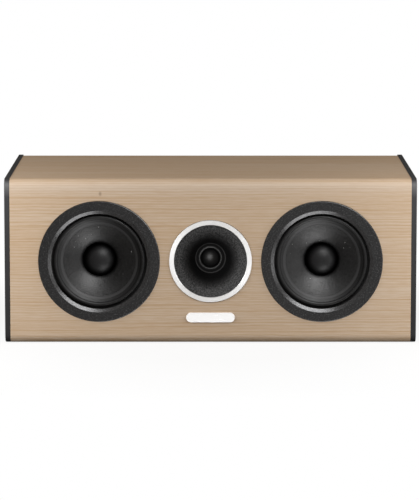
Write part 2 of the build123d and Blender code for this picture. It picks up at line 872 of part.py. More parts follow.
def make_capacitors():
    """Film capacitors lying across the crossover board."""
    middle = board_top + capacitor_radius + seat_gap
    with BuildPart() as capacitors:
        for spot_x, spot_y in capacitor_spots:
            origin = (spot_x - capacitor_length / 2, crossover_centre + spot_y, middle)
            with BuildSketch(Plane(origin=origin, x_dir=(0, 1, 0), z_dir=(1, 0, 0))):
                Circle(capacitor_radius)
            extrude(amount=capacitor_length)
        fillet(capacitors.edges().filter_by(GeomType.CIRCLE), capacitor_edge_round)
    return capacitors.part


def make_resistors():
    """Square-bodied resistors on the crossover board."""
    with BuildPart() as resistors:
        with BuildSketch(crossover_plane(board_top)):
            with Locations(*resistor_spots):
                Rectangle(resistor_length, resistor_side)
        extrude(amount=resistor_side)
    return resistors.part


def sweep_lead(points, direction):
    """Round lead along a bent route that starts at its first point in a direction."""
    with BuildPart() as lead:
        with BuildLine():
            FilletPolyline(*points, radius=lead_bend)
        with BuildSketch(Plane(origin=points[0], z_dir=direction)):
            Circle(lead_radius)
        sweep()
    return lead.part


def make_woofer_lead(side):
    """Lead from a woofer's lug through the brace window and down to the crossover board."""
    lug_x = side * (woofer_x - basket_foot - lug_length / 2)
    end_x = side * (crossover_width / 2 - lead_radius - lead_margin)
    end_y = crossover_centre + woofer_lead_spot
    points = [
        (lug_x, baffle_front + basket_back, driver_z),
        (lug_x, front_window_y, driver_z),
        (end_x, front_window_y, driver_z),
        (end_x, end_y, driver_z - lead_drop),
        (end_x, end_y, board_top),
    ]
    return sweep_lead(points, (0, 1, 0))


def make_tweeter_lead():
    """Lead from the rear of the tweeter's plate to the crossover board."""
    start_z = driver_z - (tweeter_magnet_radius + horn_back_flange_radius) / 2
    start_y = baffle_front + tweeter_magnet_front
    end_x, end_y = tweeter_lead_spot
    points = [
        (0, start_y, start_z),
        (0, start_y + lead_drop, start_z),
        (end_x, crossover_centre + end_y, start_z - lead_margin),
        (end_x, crossover_centre + end_y, board_top),
    ]
    return sweep_lead(points, (0, 1, 0))


def make_input_leads():
    """Two leads from the binding posts to the crossover board."""
    with BuildPart() as leads:
        for spot_x, spot_y in input_lead_spots:
            start_x = post_spacing / 2 * (1 if spot_x > 0 else -1)
            points = [
                (start_x, stud_end, cup_z),
                (start_x, stud_end - lead_drop / 2, cup_z),
                (spot_x, crossover_centre + spot_y, cup_z),
                (spot_x, crossover_centre + spot_y, board_top),
            ]
            add(sweep_lead(points, (0, -1, 0)))
    return leads.part


save(make_cabinet_shell(), "cabinet_shell")
save(make_rear_panel(), "rear_panel")
save(make_badge(), "badge_plate")
save(make_port(), "port_tube")

for name, side in (("left", -1), ("right", 1)):
    x = side * woofer_x
    save(make_end_panel(side), f"{name}_end_panel")
    save(make_brace(side), f"{name}_brace")
    save(make_wadding(side), f"{name}_wadding")
    save(make_trim_ring(x), f"{name}_trim_ring")
    save(make_surround(x), f"{name}_surround")
    save(make_cone(x), f"{name}_cone")
    save(make_dust_cap(x), f"{name}_dust_cap")
    save(make_spider(x), f"{name}_spider")
    save(make_basket(x, side), f"{name}_basket")
    former = make_disc(x, former_inner_radius, former_outer, former_front, winding_back)
    save(former, f"{name}_coil_former")
    winding = make_disc(x, former_outer, winding_outer, winding_front, winding_back)
    save(winding, f"{name}_coil_winding")
    top_plate = make_disc(x, plate_bore, motor_plate_radius, basket_back, magnet_front)
    save(top_plate, f"{name}_top_plate")
    magnet = make_disc(x, plate_bore + magnet_bore_gap, magnet_radius, magnet_front, magnet_back)
    save(magnet, f"{name}_magnet")
    pole_front = basket_back - pole_step
    yoke = make_yoke(
        x, pole_radius, yoke_radius, pole_front, magnet_back, yoke_back, pole_vent_radius
    )
    save(yoke, f"{name}_yoke")
    save(make_woofer_lead(side), f"{name}_woofer_lead")

woofer_faces = [cross_section(-woofer_x, 0), cross_section(woofer_x, 0)]
save(make_screws(woofer_faces, woofer_screw_circle, woofer_screw_count), "woofer_screws")

save(make_tweeter_ring(), "tweeter_ring")
save(make_horn(), "tweeter_horn")
save(make_dome(), "tweeter_dome")
coil_front = dome_back + dome_joint_gap
coil_back = coil_front + tweeter_coil_length
save(make_disc(0, dome_radius, tweeter_coil_outer, coil_front, coil_back), "tweeter_coil")
tweeter_plate = make_disc(
    0, tweeter_plate_bore, horn_back_flange_radius, dome_back, tweeter_magnet_front
)
save(tweeter_plate, "tweeter_top_plate")
tweeter_magnet = make_disc(
    0,
    tweeter_plate_bore + tweeter_magnet_bore_gap,
    tweeter_magnet_radius,
    tweeter_magnet_front,
    tweeter_magnet_back,
)
save(tweeter_magnet, "tweeter_magnet")
tweeter_yoke = make_yoke(
    0,
    tweeter_pole_radius,
    tweeter_magnet_radius,
    dome_back,
    tweeter_magnet_back,
    tweeter_yoke_back,
    pole_vent_radius,
)
save(tweeter_yoke, "tweeter_yoke")
horn_faces = [cross_section(0, horn_flange_front)]
save(make_screws(horn_faces, tweeter_screw_circle, tweeter_screw_count), "tweeter_screws")
save(make_terminal_cup(), "terminal_cup")
save(make_cup_screws(), "cup_screws")
for name, x in (("red", -post_spacing / 2), ("black", post_spacing / 2)):
    save(make_stud(x), f"{name}_stud")
    save(make_cap(x), f"{name}_cap")
save(make_nuts(), "stud_nuts")

save(make_crossover_board(), "crossover_board")
save(make_standoffs(), "board_standoffs")
save(make_coil(bass_coil_spot, bass_coil_radius, bass_coil_bore, bass_coil_height), "bass_coil")
treble_coil = make_coil(
    treble_coil_spot, treble_coil_radius, treble_coil_bore, treble_coil_height
)
save(treble_coil, "treble_coil")
save(make_capacitors(), "capacitors")
save(make_resistors(), "resistors")
save(make_tweeter_lead(), "tweeter_lead")
save(make_input_leads(), "input_leads")
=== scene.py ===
import math

import bmesh
import bpy
import numpy as np
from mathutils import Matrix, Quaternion, Vector


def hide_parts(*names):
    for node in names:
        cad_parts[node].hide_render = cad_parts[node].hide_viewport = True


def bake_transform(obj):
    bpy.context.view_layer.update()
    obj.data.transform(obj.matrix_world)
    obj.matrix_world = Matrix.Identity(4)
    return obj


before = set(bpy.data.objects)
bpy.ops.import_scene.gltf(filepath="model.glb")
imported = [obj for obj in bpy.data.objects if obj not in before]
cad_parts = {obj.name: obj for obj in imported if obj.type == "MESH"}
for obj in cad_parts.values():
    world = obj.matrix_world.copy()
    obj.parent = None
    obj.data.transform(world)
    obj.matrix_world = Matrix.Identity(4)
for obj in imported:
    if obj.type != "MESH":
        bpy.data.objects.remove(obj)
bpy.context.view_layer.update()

# Lengths are in metres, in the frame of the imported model: +X right, the front faces -Y, +Z up.
MM = 0.001

BAFFLE_FACE = -160 * MM
DRIVER_HEIGHT = 110.3 * MM
WOOFER_X = 148.7 * MM

# Woofer surround, radii from the driver's axis and depths behind the baffle face
ROLL_INNER = 55.4 * MM
ROLL_OUTER = 61.6 * MM
ROLL_HEIGHT = 3.0 * MM
LAND_INNER = 48.2 * MM
LAND_OUTER = 65.6 * MM
LAND_FRONT = 3.4 * MM
RIM_DROP = 3.4 * MM
SKIRT = 2.6 * MM
LIP_OUTER = 51.5 * MM
LIP_THICKNESS = 0.4 * MM
LIP_BLUR = 0.6 * MM
LIP_EDGE = 0.15 * MM
RUBBER_THICKNESS = 0.8 * MM

# Spider, the corrugated cloth ring behind the cone
SPIDER_PLANE = 33.15 * MM
SPIDER_INNER = 13.4 * MM
SPIDER_WAVE_WIDTH = 4.97 * MM
SPIDER_OUTER = 42.5 * MM
SPIDER_WAVES = 5
SPIDER_WAVE_HEIGHT = 1.4 * MM
SPIDER_THICKNESS = 0.5 * MM

# Divisions of the flexible rings
SURROUND_STEPS = 192
SPIDER_STEPS = 96
ROLL_ARC_STEPS = 28
WAVE_ARC_STEPS = 10
CREASE_ANGLE = math.radians(50)


# Shader building

def put(tree, kind, inputs=None, **settings):
    """Add a shader node; an input given as a socket is linked, any other value is set on it."""
    made = tree.nodes.new(kind)
    for name, value in settings.items():
        setattr(made, name, value)
    for name, value in (inputs or {}).items():
        if isinstance(value, bpy.types.NodeSocket):
            tree.links.new(value, made.inputs[name])
        else:
            made.inputs[name].default_value = value
    return made


def math_node(tree, operation, first, second=0.0):
    return put(tree, "ShaderNodeMath", {0: first, 1: second}, operation=operation).outputs[0]


def remap(tree, value, low, high, new_low=0.0, new_high=1.0):
    made = put(tree, "ShaderNodeMapRange", {"Value": value, "From Min": low, "From Max": high,
                                            "To Min": new_low, "To Max": new_high})
    return made.outputs[0]


def blend_colour(tree, share, first, second):
    made = put(tree, "ShaderNodeMix", data_type="RGBA")
    for index, value in ((0, share), (6, first), (7, second)):
        if isinstance(value, bpy.types.NodeSocket):
            tree.links.new(value, made.inputs[index])
        else:
            made.inputs[index].default_value = value
    return made.outputs[2]


def tint(tree, base, mask, share, colour):
    """Lay a colour over a base by a share of a mask."""
    return blend_colour(tree, math_node(tree, "MULTIPLY", mask, share), base, colour)


def plane_length(tree, across, upwards):
    squares = [math_node(tree, "MULTIPLY", side, side) for side in (across, upwards)]
    return math_node(tree, "SQRT", math_node(tree, "ADD", *squares))


def spread(tree, point, across, along, upwards):
    """Scale the place on the object on each axis, so that a pattern can be drawn out."""
    made = put(tree, "ShaderNodeVectorMath", {0: point, 1: (across, along, upwards)},
               operation="MULTIPLY")
    return made.outputs[0]


def noise(tree, point, scale, detail=2.0, roughness=0.5):
    made = put(tree, "ShaderNodeTexNoise", {"Vector": point, "Scale": scale, "Detail": detail,
                                            "Roughness": roughness})
    return made.outputs["Fac"]


def place_of(tree):
    return put(tree, "ShaderNodeTexCoord").outputs["Object"]


def srgb(red, green, blue):
    """A colour as it is seen on screen, 0 to 255, as the linear colour that a shader takes."""
    def linear(level):
        level /= 255
        return level / 12.92 if level <= 0.04045 else ((level + 0.055) / 1.055) ** 2.4
    return (linear(red), linear(green), linear(blue), 1.0)


def toned(colour, gain, lift=0.0):
    """A colour made paler or darker, no paler than white."""
    return tuple(min(1.0, level * gain + lift) for level in colour[:3]) + (1.0,)


def start_group(name, inputs, outputs):
    """An empty node group with named inputs, numbers or colours, and named outputs."""
    tree = bpy.data.node_groups.new(name, "ShaderNodeTree")
    for label, value in inputs.items():
        kind = "NodeSocketColor" if isinstance(value, tuple) else "NodeSocketFloat"
        tree.interface.new_socket(name=label, in_out="INPUT", socket_type=kind).default_value = value
    for label, kind in outputs.items():
        tree.interface.new_socket(name=label, in_out="OUTPUT", socket_type=kind)
    return tree, tree.nodes.new("NodeGroupInput").outputs, tree.nodes.new("NodeGroupOutput").inputs


def use_group(tree, group, **inputs):
    """Place a node group in a material with values of its own."""
    made = tree.nodes.new("ShaderNodeGroup")
    made.node_tree = group
    for name, value in inputs.items():
        label = name.replace("_", " ").capitalize()
        if isinstance(value, bpy.types.NodeSocket):
            tree.links.new(value, made.inputs[label])
        else:
            made.inputs[label].default_value = value
    return made.outputs


def make_tone_drift():
    """Slow change of tone over a surface, so that no face has one flat colour."""
    tree, given, result = start_group(
        "tone_drift", {"Colour": (0.5, 0.5, 0.5, 1.0), "Size": 30.0, "Depth": 0.1},
        {"Colour": "NodeSocketColor", "Mask": "NodeSocketFloat"})
    cloud = noise(tree, place_of(tree), given["Size"], detail=3.0)
    swing = math_node(tree, "MULTIPLY", math_node(tree, "SUBTRACT", cloud, 0.5), given["Depth"])
    gain = math_node(tree, "ADD", math_node(tree, "MULTIPLY", swing, 2.0), 1.0)
    scaled = put(tree, "ShaderNodeVectorMath", {0: given["Colour"], "Scale": gain}, operation="SCALE")
    tree.links.new(scaled.outputs[0], result["Colour"])
    tree.links.new(cloud, result["Mask"])
    return tree


def make_fine_pits():
    """The fine orange-peel grain of moulded plastic and structured paint."""
    tree, given, result = start_group(
        "fine_pits", {"Size": 2000.0, "Sharpness": 0.5},
        {"Height": "NodeSocketFloat", "Sparkle": "NodeSocketFloat"})
    place = place_of(tree)
    grains = put(tree, "ShaderNodeTexVoronoi",
                 {"Vector": place, "Scale": given["Size"], "Smoothness": 0.6}, feature="SMOOTH_F1")
    fuzz = noise(tree, place, given["Size"], detail=3.0, roughness=0.6)
    height = put(tree, "ShaderNodeMix", {0: given["Sharpness"]}, data_type="FLOAT")
    tree.links.new(fuzz, height.inputs[2])
    tree.links.new(grains.outputs["Distance"], height.inputs[3])
    tree.links.new(height.outputs[0], result["Height"])
    tree.links.new(remap(tree, fuzz, 0.38, 0.68), result["Sparkle"])
    return tree


def make_dust_specks():
    """Single specks of dust, far apart."""
    tree, given, result = start_group(
        "dust_specks", {"Spacing": 110.0, "Radius": 0.05}, {"Mask": "NodeSocketFloat"})
    spots = put(tree, "ShaderNodeTexVoronoi", {"Vector": place_of(tree), "Scale": given["Spacing"]})
    near = math_node(tree, "LESS_THAN", spots.outputs["Distance"], given["Radius"])
    tree.links.new(near, result["Mask"])
    return tree


def make_brush_lines():
    """Straight brushing of metal across a slanted direction."""
    tree, given, result = start_group(
        "brush_lines", {"Slant": 0.6, "Fineness": 2600.0},
        {"Height": "NodeSocketFloat", "Mask": "NodeSocketFloat"})
    turned = put(tree, "ShaderNodeVectorRotate", {"Vector": place_of(tree), "Angle": given["Slant"]},
                 rotation_type="Y_AXIS")
    drawn = spread(tree, turned.outputs[0], across=0.02, along=1.0, upwards=1.0)
    lines = noise(tree, drawn, given["Fineness"], detail=3.0, roughness=0.65)
    tree.links.new(lines, result["Height"])
    tree.links.new(remap(tree, lines, 0.3, 0.7), result["Mask"])
    return tree


def make_fibre_mat():
    """Short felted fibres, as in pressed paper and pulp."""
    tree, given, result = start_group(
        "fibre_mat", {"Size": 900.0}, {"Height": "NodeSocketFloat", "Mask": "NodeSocketFloat"})
    place = place_of(tree)
    strands = []
    for stretch in ((1.0, 1.0, 0.22), (0.22, 1.0, 1.0), (0.6, 0.3, 0.6)):
        drawn = spread(tree, place, *stretch)
        strands.append(noise(tree, drawn, given["Size"], detail=3.0, roughness=0.6))
    felt = math_node(tree, "MAXIMUM", math_node(tree, "MAXIMUM", strands[0], strands[1]), strands[2])
    tree.links.new(felt, result["Height"])
    tree.links.new(remap(tree, felt, 0.45, 0.75), result["Mask"])
    return tree


def make_cloth_weave():
    """A plain weave: two sets of threads across each other."""
    tree, given, result = start_group(
        "cloth_weave", {"Threads": 2200.0}, {"Height": "NodeSocketFloat", "Mask": "NodeSocketFloat"})
    axes = put(tree, "ShaderNodeSeparateXYZ", {0: place_of(tree)})
    waves = []
    for axis in ("X", "Z"):
        phase = math_node(tree, "MULTIPLY", axes.outputs[axis], given["Threads"])
        waves.append(math_node(tree, "SINE", phase))
    weave = math_node(tree, "MULTIPLY", waves[0], waves[1])
    tree.links.new(weave, result["Height"])
    tree.links.new(remap(tree, weave, -1.0, 1.0), result["Mask"])
    return tree


def make_upper_edge_sheen():
    """Mask of the rounded edge between front and top, where a paler tone is painted as a sheen."""
    tree, given, result = start_group(
        "upper_edge", {"Foot": 196 * MM, "Crest": 212 * MM}, {"Mask": "NodeSocketFloat"})
    height = put(tree, "ShaderNodeSeparateXYZ", {0: place_of(tree)}).outputs["Z"]
    normal = put(tree, "ShaderNodeNewGeometry").outputs["Normal"]
    facing = put(tree, "ShaderNodeSeparateXYZ", {0: normal})
    below_top = remap(tree, facing.outputs["Z"], 0.75, 0.35)
    rising = remap(tree, height, given["Foot"], given["Crest"])
    tree.links.new(math_node(tree, "MULTIPLY", rising, below_top), result["Mask"])
    return tree


def make_driver_radius():
    """Distance from the axis of the tweeter, or from the nearer one of a pair of drivers."""
    tree, given, result = start_group(
        "driver_radius", {"Offset": 0.0}, {"Distance": "NodeSocketFloat"})
    axes = put(tree, "ShaderNodeSeparateXYZ", {0: place_of(tree)}).outputs
    aside = math_node(tree, "SUBTRACT", math_node(tree, "ABSOLUTE", axes["X"]), given["Offset"])
    up = math_node(tree, "SUBTRACT", axes["Z"], DRIVER_HEIGHT)
    tree.links.new(plane_length(tree, aside, up), result["Distance"])
    return tree


TONE_DRIFT = make_tone_drift()
FINE_PITS = make_fine_pits()
DUST_SPECKS = make_dust_specks()
BRUSH_LINES = make_brush_lines()
FIBRE_MAT = make_fibre_mat()
CLOTH_WEAVE = make_cloth_weave()
UPPER_EDGE_SHEEN = make_upper_edge_sheen()
DRIVER_RADIUS = make_driver_radius()

# Black laid where shade is painted: the woofers' cone neck and cap rim, and rings of the tweeter's dome
SHADE_BLACK = srgb(2, 2, 2)


def start_finish(name, **sockets):
    """A material with a Principled shader whose constant values are set on its own sockets."""
    finish = bpy.data.materials.new(name)
    finish.use_nodes = True
    tree = finish.node_tree
    tree.nodes.clear()
    shader = tree.nodes.new("ShaderNodeBsdfPrincipled")
    output = tree.nodes.new("ShaderNodeOutputMaterial")
    tree.links.new(shader.outputs[0], output.inputs["Surface"])
    for label, value in sockets.items():
        shader.inputs[label.replace("_", " ")].default_value = value
    return finish, tree, shader


def relief(tree, shader, height, depth):
    """Bump of a real depth in metres."""
    bump = put(tree, "ShaderNodeBump", {"Height": height, "Distance": depth, "Strength": 1.0})
    tree.links.new(bump.outputs[0], shader.inputs["Normal"])


def feed(tree, shader, **links):
    for label, socket in links.items():
        tree.links.new(socket, shader.inputs[label.replace("_", " ")])


def swing_about_middle(tree, cloud, reach):
    """A noise of 0 to 1 as a shift to both sides, in metres."""
    return math_node(tree, "MULTIPLY", math_node(tree, "SUBTRACT", cloud, 0.5), reach)


def band(tree, value, rise_from, rise_to, fall_from, fall_to):
    """1 between two edges of a value, with soft flanks."""
    return math_node(tree, "MULTIPLY", remap(tree, value, rise_from, rise_to),
                     remap(tree, value, fall_to, fall_from))


def moulded(name, colour, roughness, pits=2200.0, depth=0.04 * MM, specular=0.35, sparkle=0.12,
            edge=0.0):
    """Black or coloured moulding and structured paint: pitted, with a little drift of tone; the last
    argument lays a painted sheen, a paler grey, on the rounded upper front edge.
    """
    finish, tree, shader = start_finish(name, Specular_IOR_Level=specular)
    grain = use_group(tree, FINE_PITS, size=pits, sharpness=0.4)
    tone = use_group(tree, TONE_DRIFT, colour=colour, size=22.0, depth=0.12)
    paler = toned(colour, gain=2.6, lift=0.01)
    base = tint(tree, tone["Colour"], grain["Sparkle"], sparkle, paler)
    # Painted sheen: a paler grey along the rounded upper front edge
    if edge:
        base = tint(tree, base, use_group(tree, UPPER_EDGE_SHEEN)["Mask"], edge, srgb(104, 104, 105))
    rough = remap(tree, grain["Sparkle"], 0.0, 1.0, roughness - 0.05, roughness + 0.07)
    feed(tree, shader, Base_Color=base, Roughness=rough)
    relief(tree, shader, grain["Height"], depth)
    return finish


def brushed(name, colour, roughness, slant=0.6, fineness=2600.0, depth=0.02 * MM, contrast=0.12,
            drift=0.05, bareness=1.0, unevenness=0.07, turned=0.0):
    """Brushed metal; one that is lacquered silver is only partly bare, a turned one fans its light."""
    finish, tree, shader = start_finish(name, Metallic=bareness)
    if turned:
        shader.inputs["Anisotropic"].default_value = turned
        shader.inputs["Anisotropic Rotation"].default_value = 0.25
        circles = put(tree, "ShaderNodeTangent", direction_type="RADIAL", axis="Y")
        tree.links.new(circles.outputs[0], shader.inputs["Tangent"])
    lines = use_group(tree, BRUSH_LINES, slant=slant, fineness=fineness)
    tone = use_group(tree, TONE_DRIFT, colour=colour, size=18.0, depth=drift)
    base = tint(tree, tone["Colour"], lines["Mask"], contrast, toned(colour, gain=0.72))
    rough = remap(tree, lines["Mask"], 0.0, 1.0, roughness - unevenness, roughness + unevenness)
    feed(tree, shader, Base_Color=base, Roughness=rough)
    relief(tree, shader, lines["Height"], depth)
    return finish


def felted(name, colour, roughness, size, depth, specular, contrast, specks=0.0, sheen=0.0, painted_shade=None):
    """Pressed pulp, paper or wool; the last argument gives the radii between which a woofer's pulp is
    painted black and made metallic, a painted shade that takes no light.
    """
    finish, tree, shader = start_finish(name, Specular_IOR_Level=specular, Sheen_Weight=sheen)
    fibres = use_group(tree, FIBRE_MAT, size=size)
    tone = use_group(tree, TONE_DRIFT, colour=colour, size=35.0, depth=0.15)
    paler = toned(colour, gain=2.2, lift=0.006)
    base = tint(tree, tone["Colour"], fibres["Mask"], contrast, paler)
    if specks:
        dust = use_group(tree, DUST_SPECKS, spacing=120.0, radius=specks)
        base = blend_colour(tree, dust["Mask"], base, srgb(170, 170, 170))
    # Painted shade: between these radii the pulp turns black and metallic, so it takes no light
    if painted_shade:
        shaded = remap(tree, use_group(tree, DRIVER_RADIUS, offset=WOOFER_X)["Distance"], *painted_shade)
        base = blend_colour(tree, shaded, base, SHADE_BLACK)
        feed(tree, shader, Metallic=shaded)
    rough = remap(tree, fibres["Mask"], 0.0, 1.0, roughness - 0.04, roughness + 0.08)
    feed(tree, shader, Base_Color=base, Roughness=rough)
    relief(tree, shader, fibres["Height"], depth)
    return finish


def woven(name, colour, roughness, threads, depth):
    """Coated cloth."""
    finish, tree, shader = start_finish(name, Specular_IOR_Level=0.5, Sheen_Weight=0.3)
    weave = use_group(tree, CLOTH_WEAVE, threads=threads)
    tone = use_group(tree, TONE_DRIFT, colour=colour, size=60.0, depth=0.15)
    base = blend_colour(tree, weave["Mask"], toned(colour, gain=0.6), tone["Colour"])
    rough = remap(tree, weave["Mask"], 0.0, 1.0, roughness + 0.06, roughness - 0.04)
    feed(tree, shader, Base_Color=base, Roughness=rough)
    relief(tree, shader, weave["Height"], depth)
    return finish


# Veneer tones
VENEER_PALE = srgb(207, 188, 167)
VENEER_WARM = srgb(203, 181, 157)
VENEER_LINE = srgb(182, 149, 112)
VENEER_PORE = srgb(140, 112, 82)
VENEER_KNOT = srgb(118, 92, 72)
# Paler tone painted as a sheen along the rounded upper front edge
VENEER_SHEEN = srgb(226, 214, 202)

# Late wood lines, the spacing of each set and how finely it wavers, and the one knot
LINE_SPACINGS = ((4.1 * MM, 70.0), (2.7 * MM, 110.0))
LINE_JITTER = 9.0
FAINTER_LINES = 0.7
KNOT_X = -147.0 * MM
KNOT_WRAP = 40.0 * MM
KNOT_NARROWNESS = 1.6
KNOT_RADIUS = 4.2 * MM
KNOT_CORE = 0.8 * MM


def veneer_bend(tree, sheet):
    """How far the grain sways from straight."""
    sway = noise(tree, spread(tree, sheet, across=2.2, along=1.0, upwards=5.0), 1.0)
    ripple = noise(tree, spread(tree, sheet, across=14.0, along=1.0, upwards=40.0), 1.0)
    return math_node(tree, "ADD", swing_about_middle(tree, sway, 7.0 * MM),
                     swing_about_middle(tree, ripple, 3.5 * MM))


def late_wood_lines(tree, bent, bent_wrap):
    """Two sets of dark lines along the grain, which come and go."""
    strength = noise(tree, spread(tree, bent, across=3.4, along=1.0, upwards=420.0), 1.0, detail=1.0)
    waves = []
    for spacing, jitter_size in LINE_SPACINGS:
        jitter = noise(tree, spread(tree, bent, across=1.8, along=1.0, upwards=jitter_size), 1.0, detail=1.0)
        turn = math_node(tree, "MULTIPLY", bent_wrap, 2 * math.pi / spacing)
        phase = math_node(tree, "ADD", turn, math_node(tree, "MULTIPLY", jitter, LINE_JITTER))
        waves.append(remap(tree, math_node(tree, "SINE", phase), 0.25, 0.95))
    rings = math_node(tree, "MAXIMUM", waves[0], math_node(tree, "MULTIPLY", waves[1], FAINTER_LINES))
    return math_node(tree, "MULTIPLY", rings, remap(tree, strength, 0.32, 0.66))


def knot_mask(tree, across, bent_wrap):
    """One small upright knot above the left woofer."""
    aside = math_node(tree, "MULTIPLY", math_node(tree, "SUBTRACT", across, KNOT_X), KNOT_NARROWNESS)
    up = math_node(tree, "SUBTRACT", bent_wrap, KNOT_WRAP)
    return remap(tree, plane_length(tree, aside, up), KNOT_RADIUS, KNOT_CORE)


def make_veneer():
    """Light tan veneer: straight grain along the cabinet, wrapped from the front over the top."""
    finish, tree, shader = start_finish("veneer_lacquered", Specular_IOR_Level=0.03)
    axes = put(tree, "ShaderNodeSeparateXYZ", {0: place_of(tree)})
    across = axes.outputs["X"]
    wrap = math_node(tree, "ADD", axes.outputs["Y"], axes.outputs["Z"])
    sheet = put(tree, "ShaderNodeCombineXYZ", {"X": across, "Z": wrap}).outputs[0]
    bent_wrap = math_node(tree, "ADD", wrap, veneer_bend(tree, sheet))
    bent = put(tree, "ShaderNodeCombineXYZ", {"X": across, "Z": bent_wrap}).outputs[0]

    figure = noise(tree, spread(tree, sheet, across=1.6, along=1.0, upwards=30.0), 1.0, detail=1.0)
    fibres = noise(tree, spread(tree, bent, across=40.0, along=1.0, upwards=640.0), 1.0,
                   detail=3.0, roughness=0.6)
    pores = noise(tree, spread(tree, bent, across=60.0, along=1.0, upwards=2600.0), 1.0, roughness=0.6)
    pore_mask = remap(tree, pores, 0.63, 0.74)

    base = blend_colour(tree, remap(tree, figure, 0.35, 0.65), VENEER_PALE, VENEER_WARM)
    base = tint(tree, base, late_wood_lines(tree, bent, bent_wrap), 0.75, VENEER_LINE)
    base = tint(tree, base, remap(tree, fibres, 0.4, 0.7), 0.4, VENEER_LINE)
    base = tint(tree, base, pore_mask, 0.25, VENEER_PORE)
    base = tint(tree, base, knot_mask(tree, across, bent_wrap), 0.6, VENEER_KNOT)
    # Painted sheen: the rounded edge between front and top is tinted paler, as if lit from above
    base = tint(tree, base, use_group(tree, UPPER_EDGE_SHEEN)["Mask"], 0.28, VENEER_SHEEN)
    feed(tree, shader, Base_Color=base, Roughness=remap(tree, fibres, 0.3, 0.7, 0.72, 0.84))
    height = math_node(tree, "ADD", math_node(tree, "MULTIPLY", fibres, 0.5),
                       math_node(tree, "MULTIPLY", pore_mask, -0.8))
    relief(tree, shader, height, 0.05 * MM)
    return finish


# How squarely a spot of the trim ring faces forwards, on its slope and on its face
RING_SLOPE, RING_FACE = -0.92, -0.98


def make_ring_paint():
    """Structured black paint with pale grains; the sloping inner edge is smoother and half bare."""
    finish, tree, shader = start_finish("ring_speckled_paint", Specular_IOR_Level=0.5)
    tone = use_group(tree, TONE_DRIFT, colour=srgb(30, 30, 31), size=25.0, depth=0.1)
    grains = noise(tree, place_of(tree), 600.0, roughness=0.6)
    normal = put(tree, "ShaderNodeNewGeometry").outputs["True Normal"]
    facing = put(tree, "ShaderNodeSeparateXYZ", {0: normal})
    face = remap(tree, facing.outputs["Y"], RING_SLOPE, RING_FACE)
    pale_grain = math_node(tree, "MULTIPLY", remap(tree, grains, 0.52, 0.7), face)
    base = tint(tree, tone["Colour"], pale_grain, 0.5, srgb(106, 106, 107))
    rough = remap(tree, face, 0.0, 1.0, 0.27, 0.45)
    slope = blend_colour(tree, remap(tree, grains, 0.35, 0.65), srgb(62, 62, 63), srgb(92, 92, 93))
    base = blend_colour(tree, face, slope, base)
    bare = remap(tree, face, 0.0, 1.0, 0.6, 0.0)
    feed(tree, shader, Base_Color=base, Roughness=rough, Metallic=bare)
    height = math_node(tree, "MULTIPLY", grains, remap(tree, face, 0.0, 1.0, 0.4, 1.0))
    relief(tree, shader, height, 0.3 * MM)
    return finish


# Rings of the tweeter's dome, as distances from its axis: bands painted black as shade, the dull flange, a
# thin pale line painted as a highlight, and how much of the shade is laid
SHADED_FOOT_BAND = (10.6 * MM, 11.6 * MM, 13.2 * MM, 14.8 * MM)
DULL_FROM, DULL_TO = 15.4 * MM, 16.4 * MM
SHADED_FLANGE_BAND = (16.4 * MM, 17.2 * MM, 18.9 * MM, 19.6 * MM)
HIGHLIGHT_EDGE_FROM, HIGHLIGHT_EDGE_TO = 19.2 * MM, 19.7 * MM
SHADE_SHARE = 0.55

# The horn's lip, from where its grain starts to where it is full; nearer the throat the colour is left near
# black, a painted shade
LIP_LIGHT_FROM, LIP_LIGHT_TO = 26 * MM, 40 * MM


def make_dome_silk():
    """Coated silk: glossy on the dome and its roll, dull on the glued flange; its foot and a band of the
    flange are painted black as shade, and a thin pale line is painted as the highlight of the throat's edge.
    """
    finish, tree, shader = start_finish("dome_coated_silk", Specular_IOR_Level=0.9)
    weave = use_group(tree, CLOTH_WEAVE, threads=9000.0)
    distance = use_group(tree, DRIVER_RADIUS)["Distance"]
    flange = remap(tree, distance, DULL_FROM, DULL_TO)
    highlight_edge = remap(tree, distance, HIGHLIGHT_EDGE_FROM, HIGHLIGHT_EDGE_TO)
    base = blend_colour(tree, weave["Mask"], srgb(13, 13, 14), srgb(20, 20, 21))
    # Painted highlight: a thin pale line at the edge of the horn's throat
    base = blend_colour(tree, highlight_edge, base, srgb(72, 72, 73))
    # Painted shade: the dome's foot and a band of the flange are turned black and metallic
    shaded_rings = math_node(tree, "ADD", band(tree, distance, *SHADED_FOOT_BAND), band(tree, distance, *SHADED_FLANGE_BAND))
    shaded = math_node(tree, "MULTIPLY", shaded_rings, SHADE_SHARE)
    base = blend_colour(tree, shaded, base, SHADE_BLACK)
    rough = remap(tree, flange, 0.0, 1.0, 0.32, 0.85)
    feed(tree, shader, Base_Color=base, Roughness=rough, Metallic=shaded)
    relief(tree, shader, weave["Height"], 0.02 * MM)
    return finish


def make_horn_black():
    """Horn moulding: a grained lip that turns smooth towards the throat, its colour painted darker towards
    the throat as shade.
    """
    finish, tree, shader = start_finish("horn_grained_lip", Specular_IOR_Level=0.32)
    # Painted shade: the pale grain fades out towards the throat, which is left near black
    lit_lip = remap(tree, use_group(tree, DRIVER_RADIUS)["Distance"], LIP_LIGHT_FROM, LIP_LIGHT_TO)
    grain = use_group(tree, FINE_PITS, size=640.0, sharpness=0.4)
    paleness = remap(tree, grain["Sparkle"], 0.0, 1.0, 0.04, 0.85)
    pale_grain = math_node(tree, "MULTIPLY", paleness, lit_lip)
    base = blend_colour(tree, pale_grain, srgb(8, 8, 9), srgb(84, 84, 85))
    feed(tree, shader, Base_Color=base, Roughness=remap(tree, lit_lip, 0.0, 1.0, 0.58, 0.46))
    relief(tree, shader, grain["Height"], 0.6 * MM)
    return finish


